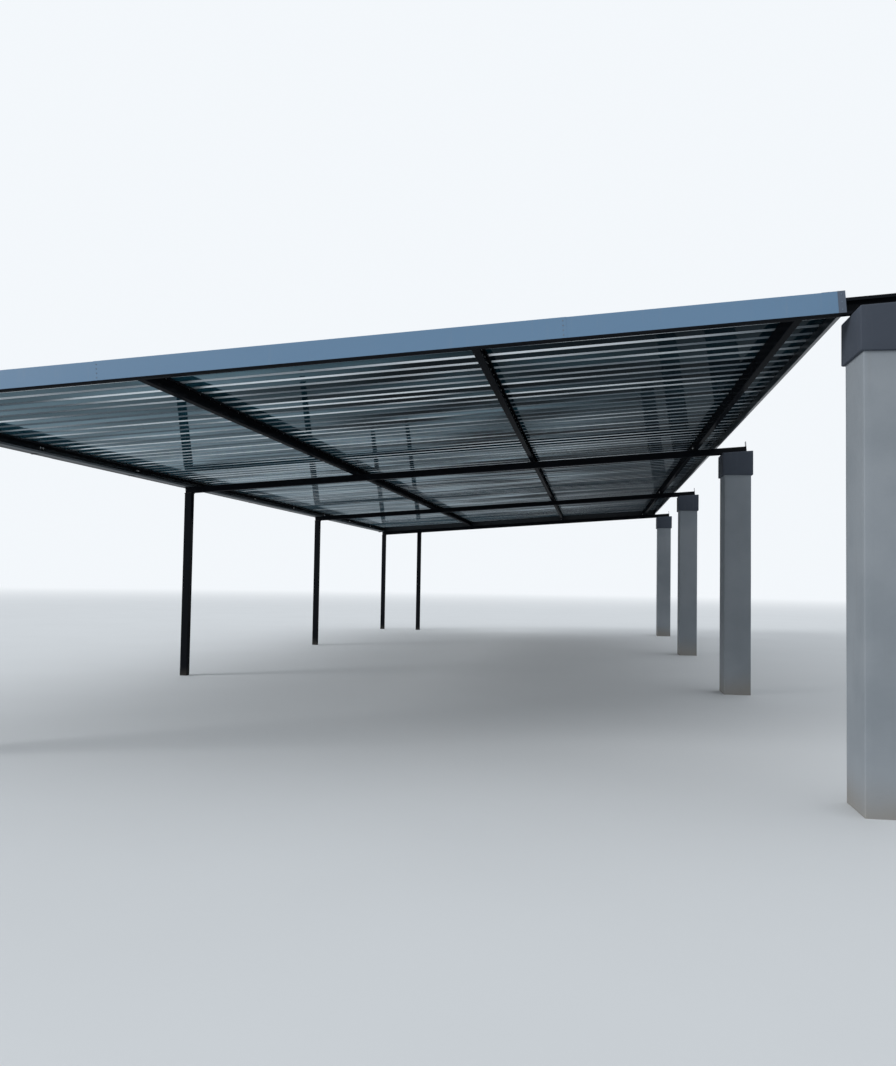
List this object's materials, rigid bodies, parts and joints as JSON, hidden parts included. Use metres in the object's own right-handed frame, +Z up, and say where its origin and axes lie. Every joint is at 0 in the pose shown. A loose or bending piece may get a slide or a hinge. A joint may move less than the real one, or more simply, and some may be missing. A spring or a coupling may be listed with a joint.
{
  "type": "carport",
  "caption": "Open carport with a mono-pitch box-rib roof on a steel frame, square steel posts along the gutter side and plastered piers along the high side.",
  "frame": {"origin": "on the floor, under the middle of the whole carport", "axes": "+X across the roof from the gutter up to the piers, +Y from the front fascia to the back, +Z up"},
  "size_m": [7.0776, 17.99, 2.9973],
  "materials": {
    "frame": "semi-gloss charcoal paint",
    "end_plates": "grey primer",
    "sheets": "glossy dark grey coil coating",
    "flashing": "satin dark grey coil coating",
    "gutter": "satin dark grey coil coating",
    "plaster": "painted light grey plaster",
    "band": "painted dark blue-grey plaster"
  },
  "bodies": {
    "root": {"front_left_post": "frame", "second_post": "frame", "third_post": "frame", "back_corner_post": "frame", "back_inner_post": "frame", "post_cap_plates": "frame", "front_beam": "frame", "front_rafter": "frame", "middle_rafter": "frame", "back_rafter": "frame", "eave_purlin": "frame", "left_purlin": "frame", "right_purlin": "frame", "high_side_purlin": "frame", "purlin_cleats": "frame", "beam_cleats": "frame", "rafter_end_plates": "end_plates", "roof_sheets_front": "sheets", "roof_sheets_middle": "sheets", "roof_sheets_back": "sheets", "front_fascia": "flashing", "back_fascia": "flashing", "side_flashing": "flashing", "corner_covers": "flashing", "gutter_floor": "gutter", "gutter_outlet": "gutter", "gutter_back_wall": "gutter", "gutter_outer_wall": "gutter", "gutter_brackets": "gutter", "gutter_end_caps": "gutter", "downpipe": "gutter", "downpipe_clips": "gutter", "front_pier": "plaster", "second_pier": "plaster", "third_pier": "plaster", "back_pier": "plaster", "front_pier_band": "band", "second_pier_band": "band", "third_pier_band": "band", "back_pier_band": "band"}
  },
  "joints": []
}
